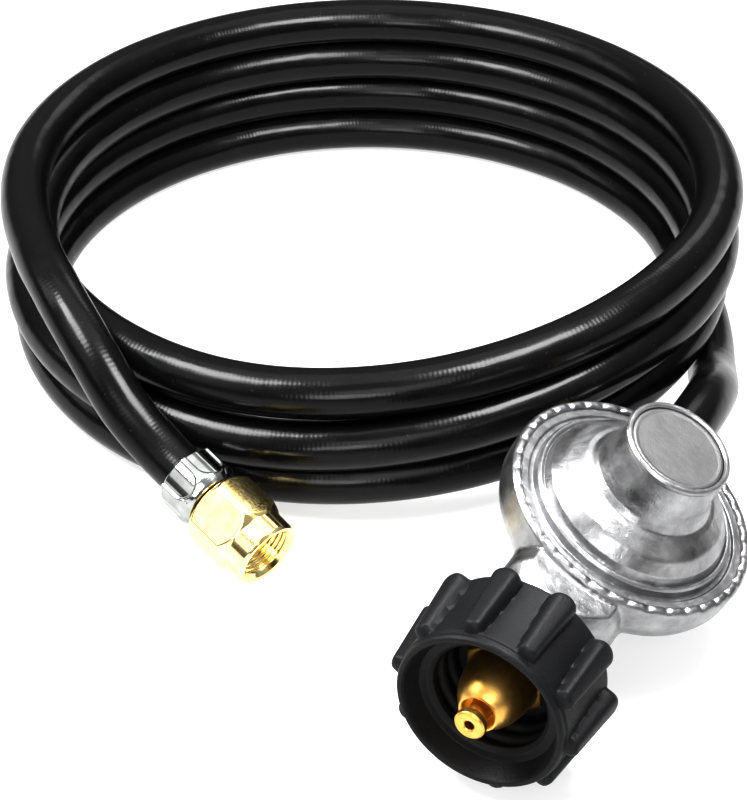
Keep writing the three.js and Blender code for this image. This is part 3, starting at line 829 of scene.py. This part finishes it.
def add_cover(look):
    outside = rounded([
        (33, COVER_LOW, 0.2),
        (33, 12.3, 0.3),
        (29.6, 12.3, 0.4),
        (29.2, 11.6, 0.2),
        (28.1, 11.6, 0.2),
        (27.8, 13.6, 0.5),
        (27.2, 14.45, 0.5),
        (26.5, 14.3, 0.4),
        (26.0, 13.6, 0.4),
        (25.2, 16.2, 1.5),
        (22.6, 19.6, 4),
        (18.6, 22.0, 3),
        (16.9, 22.7, 1.4),
        (15.9, 24.6, 1.6),
        (15.2, 27, 0),
        (13.8, 35.6, 0.5),
        (14.55, 36.2, 0.4),
        (14.6, 37.2, 0.4),
        (14.1, TOWER_TOP, 0.4),
        (13.3, TOWER_TOP, 0.3),
        (12.9, 37.3, 0.2),
        (12.9, 35.9, 0.1),
        (11.4, 35.9, 0.1),
        (11.4, 24, 0.5),
        (13.6, 21.4, 0.5),
        (18.4, 18.6, 1),
        (22, 16, 1),
        (25, 12.6, 0.5),
        (25.4, COVER_LOW, 0.1),
    ], steps=5)
    cover = turned("regulator_cover_casting", fine(outside, 0.6), IN_REGULATOR, 256, upright=True)
    drill = turned("breather", [(0, 0), (1.2, 0), (1.2, 12), (0, 12)], Matrix.Identity(4), 24, upright=True)
    drill.matrix_world = IN_REGULATOR @ Matrix.Translation(Vector((0, 21.5, 11)) * MM)
    carve(cover, drill)
    return finish_piece(cover, "regulator", "die_cast", look, "regulator_cover")


def add_tower_cap(look):
    """Disc in the tower's rolled edge, a little dished, with a pressed ring."""
    outline = rounded([
        (0, 36.1),
        (12.75, 36.1, 0.2),
        (12.75, 37.0, 0.3),
        (12.0, 37.15, 0.3),
        (11.2, 37.0, 0.6),
        (0, 36.92),
    ])
    cap = turned("tower_disc", fine(outline, 1.0), IN_REGULATOR, 128, upright=True)
    return finish_piece(cap, "regulator", "cap", look, "tower_cap")


# ---------------------------------------------------------------------------------------------------------
# Tank connection, along the regulator's Y axis
# ---------------------------------------------------------------------------------------------------------

LOBES = 10
LOBE_TURN = math.radians(9)
NUT_BACK = -54
NUT_MOUTH = -79
LOBE_ROOT_R = 24
LOBE_LAST = -75.2
TANK_THREAD_PITCH = INCH / 5
BARREL_BACK = -66
BARREL_LENGTH = 13.4
BARREL_ROUND = 7.0
NIPPLE_HEX = (-65.1, -61.3)


def lobed(r, h, a):
    """Raises the lobes like fingers: wide and tall at the back, narrow and low at the mouth, rounded ends."""
    step = 2 * math.pi / LOBES
    turn = np.mod(a + math.pi / 2 - LOBE_TURN + step / 2, step) - step / 2
    forward = np.clip((NUT_BACK - h) / (NUT_BACK + 77), 0, 1)
    height = 3.8 - 1.3 * forward
    half_width = 4.3 - 1.5 * forward
    before = np.maximum(0, h - (NUT_BACK - 3.4)) / 3.2
    beyond = np.maximum(0, LOBE_LAST - h) / 1.7
    spread_out = np.clip(np.hypot(turn * LOBE_ROOT_R / half_width, before + beyond), 0, 1)
    ridge = smooth_step((1 - spread_out ** 2.2) ** 0.55)
    outside = r > 21.2
    waist = 0.4 * np.sin(math.pi * forward) * (1 - ridge)
    return np.where(outside, r + height * ridge - waist, r), h


def add_tank_nut(look):
    outline = rounded([
        (11.1, NUT_BACK, 0.3),
        (22.2, NUT_BACK, 0.4),
        (23.2, NUT_BACK - 1.0, 0.8),
        (22.5, -76.6, 0.3),
        (22.1, -76.9, 0.3),
        (22.1, -78.2, 0.8),
        (21.6, NUT_MOUTH, 0.5),
        (20.6, NUT_MOUTH, 0.4),
        (20.1, -78.2, 0.4),
        (18.3, -73.6, 0.3),
        (17.3, -73.5, 0.4),
        (16.2, -73.5, 0.5),
        (15, -72.4, 0.4),
        (15, -58, 0.2),
        (11.1, -58, 0.3),
    ])
    shape = threaded(lobed, low=-73.2, high=-58.4, radius=15.3, depth=1.35, pitch=TANK_THREAD_PITCH,
                     crest=0.2)
    nut = turned("tank_hand_nut", fine(outline, 0.35), IN_NUT, 400, shape, sharp=45)
    return finish_piece(nut, "tank_nut", "nut_plastic", look, "inlet_nut")


def add_bushing(look):
    outline = rounded([
        (8.5, -60.6),
        (14.2, -60.6, 0.4),
        (14.2, -58.3, 0.2),
        (10.7, -58.3, 0.1),
        (10.7, -51.2, 0.5),
        (8.5, -51.2, 0.2),
    ])
    bushing = turned("heat_bushing", fine(outline, 0.8), IN_NUT, 96)
    return finish_piece(bushing, "bushing", "bushing_plastic", look, "thermal_bushing")


def add_nipple(look):
    """Brass nipple with a hexagon at its back and an egg-shaped nose."""
    quarter_circle = arc((2.2, 0), BARREL_ROUND, 0, 70, 14)
    barrel = [(r, BARREL_BACK - y * BARREL_LENGTH / BARREL_ROUND, 0) for r, y in quarter_circle]
    outline = rounded([
        (2.4, -26, 0.1),
        (4.6, -26, 0.3),
        (4.6, -48.3, 0),
        (8.1, -48.3, 0.4),
        (8.1, -61.2, 0),
        (10.2, -61.4, 0.2),
        (11.5, -62.2, 0.3),
        (11.5, -64.2, 0.3),
        (9.3, -65.2, 0.3),
        *barrel,
        (5.2, -79, 0.15),
        (4.6, -79, 0.15),
        (4.25, -78.5, 0.2),
        (4.25, -75.4, 0),
        (3, -75.4, 0),
        (3, -70, 0),
        (4.3, -70, 0),
        (4.3, -59, 0),
        (2.4, -58, 0),
    ], steps=5)
    trim = hexagon(19.5, 0.2)

    def shape(r, h, a):
        return np.where((h > NIPPLE_HEX[0]) & (h < NIPPLE_HEX[1]), trim(r, h, a)[0], r), h

    nipple = turned("tank_nipple", fine(outline, 0.4), IN_REGULATOR, 180, shape, sharp=38)
    return finish_piece(nipple, "regulator", "brass", look, "inlet_nipple")


def add_plunger(look):
    outline = rounded([
        (1.3, -83.5, 0.2),
        (1.7, -83.8, 0.1),
        (3.55, -83.8, 0.3),
        (4.0, -83.35, 0.2),
        (4.0, -81.7, 0.3),
        (3.4, -81.3, 0.2),
        (2.7, -81.0, 0.3),
        (2.7, -69.7, 0),
        (3.9, -69.7, 0.1),
        (3.9, -68, 0.2),
        (1.3, -68, 0.2),
    ])
    plunger = turned("flow_limiter_tip", fine(outline, 0.5), IN_REGULATOR, 96)
    return finish_piece(plunger, "flow_limiter", "brass", look, "flow_limiter_plunger")


def add_outlet_barb(look):
    """Brass insert in the outlet: shank, hexagonal collar and the barb in the hose."""
    barbs = []
    for y in (38.6, 41.8, 45):
        barbs += [(3.4, y, 0.1), (3.9, y, 0.1), (3.4, y + 2.7, 0.1)]
    outline = rounded([
        (2.4, 24, 0.1),
        (4.6, 24, 0.3),
        (4.6, 35.3, 0.1),
        (8.2, 35.3, 0.1),
        (9.6, 35.6, 0.1),
        (9.6, 36.1, 0.1),
        (8.2, 36.3, 0.1),
        (3.9, 36.3, 0.1),
        (3.9, 38, 0.1),
        *barbs,
        (3.2, 48.5, 0.2),
        (2.4, 48.5, 0.2),
    ])
    barb = turned("outlet_insert", fine(outline, 0.5), IN_REGULATOR, 120, hexagon(17, 0.2), sharp=38)
    return finish_piece(barb, "regulator", "brass", look, "outlet_barb")


# ---------------------------------------------------------------------------------------------------------
# Springs and diaphragm
# ---------------------------------------------------------------------------------------------------------

ALONG_INLET = IN_REGULATOR @ Matrix.Rotation(-math.pi / 2, 4, "X")


def spring_mesh(radius, wire, low, high, turns):
    """A coil of round wire about Z with closed ends."""
    around = 10
    count = turns * 36
    share = np.linspace(0, 1, count + 1)
    angle = share * turns * 2 * math.pi
    open_turns = np.clip((share * turns - 1) / (turns - 2), 0, 1)
    closed = wire * (np.minimum(share * turns, 1) + np.maximum((share - 1) * turns + 1, 0)) * 2
    height = low + wire + closed + (high - low - 6 * wire) * open_turns
    section = np.arange(around) * 2 * math.pi / around
    reach = radius + wire * np.cos(section)
    points = np.stack([
        reach[None, :] * np.cos(angle)[:, None],
        reach[None, :] * np.sin(angle)[:, None],
        height[:, None] + wire * np.sin(section)[None, :],
    ], -1).reshape(-1, 3)
    faces = [list(range(around)), [count * around + k for k in reversed(range(around))]]
    for step in range(count):
        for k in range(around):
            a = step * around + k
            b = step * around + (k + 1) % around
            faces.append([a, a + around, b + around, b])
    return points, faces


def add_spring(name, node_name, look, place, fixed, joint, **size):
    """A coiled spring of round wire on the regulator, with a mesh of its own. The fixed end and the joint are
    not used.
    """
    points, faces = spring_mesh(**size)
    spring = mesh_object(name, points * MM, faces, place, sharp=60)
    finish_piece(spring, "regulator", "spring_steel", look, node_name)
    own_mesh(spring)


def add_diaphragm(look):
    """Clamped rim with its rolled fold, and the centre, whose skirt rises inside the fold."""
    rim = rounded([
        (18.4, 9.9, 0.1),
        (33, 9.9, 0.1),
        (33, 10.9, 0.1),
        (24.2, 10.9, 0.5),
        (23.2, 12.1, 0.7),
        (19.8, 12.1, 0.7),
        (18.4, 10.9, 0.3),
    ])
    centre = rounded([
        (2.6, 9.9, 0.1),
        (17.5, 9.9, 0.2),
        (17.5, 7.8, 0.1),
        (18.1, 7.8, 0.1),
        (18.1, 10.9, 0.4),
        (2.6, 10.9, 0.1),
    ])
    outer = turned("diaphragm_rim", fine(rim, 0.8), IN_REGULATOR, 128, upright=True)
    finish_piece(outer, "regulator", "soft_rubber", look, "diaphragm")
    inner = turned("diaphragm_centre", fine(centre, 0.8), IN_REGULATOR, 128, upright=True)
    finish_piece(inner, "diaphragm_assembly", "soft_rubber", look)


# ---------------------------------------------------------------------------------------------------------
# Studio
# ---------------------------------------------------------------------------------------------------------

def add_floor():
    """A pale floor that glows a little."""
    half = 4.0
    mesh = bpy.data.meshes.new("floor")
    corners = [(-half, -half, 0), (half, -half, 0), (half, half, 0), (-half, half, 0)]
    mesh.from_pydata(corners, [], [[0, 1, 2, 3]])
    floor = bpy.data.objects.new("floor", mesh)
    bpy.context.scene.collection.objects.link(floor)
    look, tree, shader, where = start_look("floor_paper", 0.0, Roughness=0.9, Specular_IOR_Level=0.1,
                                           Emission_Color=(1, 1, 1, 1), Emission_Strength=0.7)
    colour = mixed(tree, noise(tree, where, 3, 2.0), (0.34, 0.34, 0.34), (0.36, 0.36, 0.36))
    feed(tree, shader, Base_Color=colour)
    mesh.materials.append(look)


def add_softbox(name, place, aim, size, power):
    data = bpy.data.lights.new(name, "AREA")
    data.shape = "RECTANGLE"
    data.size, data.size_y = size
    data.energy = power
    light = bpy.data.objects.new(name, data)
    light.visible_camera = False
    bpy.context.scene.collection.objects.link(light)
    light.location = place
    light.rotation_euler = (Vector(aim) - Vector(place)).to_track_quat("-Z", "Y").to_euler()


def add_world(zenith, horizon):
    """A dim dome, brighter overhead than at the horizon."""
    world = bpy.data.worlds.new("studio")
    world.use_nodes = True
    tree = world.node_tree
    up = node(tree, "SeparateXYZ", {0: node(tree, "TexCoord").outputs["Generated"]}).outputs[2]
    background = tree.nodes["Background"]
    background.inputs["Color"].default_value = (1, 1, 1, 1)
    tree.links.new(spread(tree, up, 0.1, 0.9, horizon, zenith), background.inputs["Strength"])
    bpy.context.scene.world = world
    bpy.context.scene.view_settings.view_transform = "Standard"
    bpy.context.scene.view_settings.gamma = 0.75


def add_studio():
    add_floor()
    add_world(0.85, 0.12)
    centre = (COIL_CENTRE.x * 0.6, COIL_CENTRE.y * 0.4, 0.03)
    add_softbox("overhead", (-0.15, 0.25, 1.5), centre, (1.5, 1.3), 9)
    add_softbox("left", (-0.95, -0.20, 0.75), centre, (0.3, 0.9), 2.5)
    add_softbox("left_front", (-0.65, -0.78, 0.62), centre, (0.6, 0.5), 1.25)
    add_softbox("right", (0.75, 0.10, 0.7), centre, (0.25, 0.9), 0.5)
    add_softbox("front", (0.40, -0.95, 0.85), centre, (0.8, 0.5), 5)
    add_softbox("back", (-0.18, 1.05, 0.75), centre, (0.4, 0.35), 1.4)
    add_softbox("low_front", (0.12, -0.75, 0.30), (0, -0.07, 0.03), (0.3, 0.2), 2.2)
    coil = Vector((COIL_CENTRE.x, COIL_CENTRE.y, 0.03))
    across = Vector((CAMERA_HEADING.y, -CAMERA_HEADING.x, 0))
    for name, right, away in (("near_left", -0.22, -0.11), ("near_right", 0.12, -0.137)):
        place = coil + across * right + CAMERA_HEADING * away + Vector((0, 0, 0.29))
        add_softbox(name, place, coil, (0.18, 0.12), 2.2)


# ---------------------------------------------------------------------------------------------------------
# Assembly
# ---------------------------------------------------------------------------------------------------------

add_camera()

YELLOW_ZINC = turned_metal_look("yellow_zinc", (1.0, 0.90, 0.50), (0.98, 0.78, 0.32), (0.10, 0.2),
                                marks=0.000008, tint=(0.93, 0.62, 0.34))
CHROME = turned_metal_look("chrome", (0.46, 0.47, 0.46), (0.34, 0.35, 0.34), (0.08, 0.16), marks=0.000004)
BRASS = turned_metal_look("brass", (0.93, 0.60, 0.20), (0.70, 0.40, 0.10), (0.32, 0.4))
DIE_CAST = cast_look("die_cast", (0.46, 0.46, 0.465), (0.25, 0.25, 0.255), (0.27, 0.43))
CAP_METAL = cast_look("cap_metal", (0.20, 0.20, 0.20), (0.17, 0.17, 0.17), (0.5, 0.65), 0.00012)
NUT_PLASTIC = plastic_look("nut_plastic", (0.010, 0.0105, 0.012), (0.005, 0.005, 0.006), (0.42, 0.6))
BUSHING_PLASTIC = plastic_look("bushing_plastic", (0.015, 0.015, 0.016), (0.009, 0.009, 0.009), (0.35, 0.5))
SCREW_PLASTIC = plastic_look("screw_plastic", (0.72, 0.70, 0.63), (0.62, 0.60, 0.53), (0.4, 0.6))
SOFT_RUBBER = plastic_look("soft_rubber", (0.03, 0.03, 0.03), (0.018, 0.018, 0.018), (0.6, 0.8))
SPRING_STEEL = turned_metal_look("spring_steel", (0.62, 0.63, 0.64), (0.45, 0.46, 0.47), (0.2, 0.35))

flare_nut = add_flare_nut(YELLOW_ZINC)
flare_ferrule = add_ferrule("flare_crimp_ferrule", *FLARE_FERRULE, IN_FLARE, CHROME, "flare_ferrule",
                            PUNCH_MARK)
flare_insert = add_flare_insert(BRASS)
add_hose(hose_look())
add_ferrule("outlet_crimp_ferrule", *OUTLET_FERRULE, IN_REGULATOR, CHROME, "outlet_ferrule")
add_outlet_barb(BRASS)
add_body(DIE_CAST)
add_cover(DIE_CAST)
add_tower_cap(CAP_METAL)
add_tank_nut(NUT_PLASTIC)
add_bushing(BUSHING_PLASTIC)
add_nipple(BRASS)
add_plunger(BRASS)
add_diaphragm(SOFT_RUBBER)
add_spring("bonnet_spring", "main_spring", SPRING_STEEL, IN_REGULATOR, 30.2, "diaphragm_slide",
           radius=9, wire=0.9, low=12.3, high=30.2, turns=6)
add_spring("limiter_spring", "flow_limiter_spring", SPRING_STEEL, ALONG_INLET, -59.4, "flow_limiter_slide",
           radius=3.3, wire=0.45, low=-67.7, high=-59.4, turns=6)

CAD_LOOKS = {
    "adjusting_screw": SCREW_PLASTIC,
    "seat_disc": SOFT_RUBBER,
    "diaphragm_plate": SPRING_STEEL,
    "diaphragm_washer": SPRING_STEEL,
    "lever": SPRING_STEEL,
    "lever_pin": SPRING_STEEL,
    "diaphragm_stem": BRASS,
    "valve_holder": BRASS,
    "inlet_orifice": BRASS,
}
for name, look in CAD_LOOKS.items():
    frame["nodes"][name].material_slots[0].material = look

add_studio()
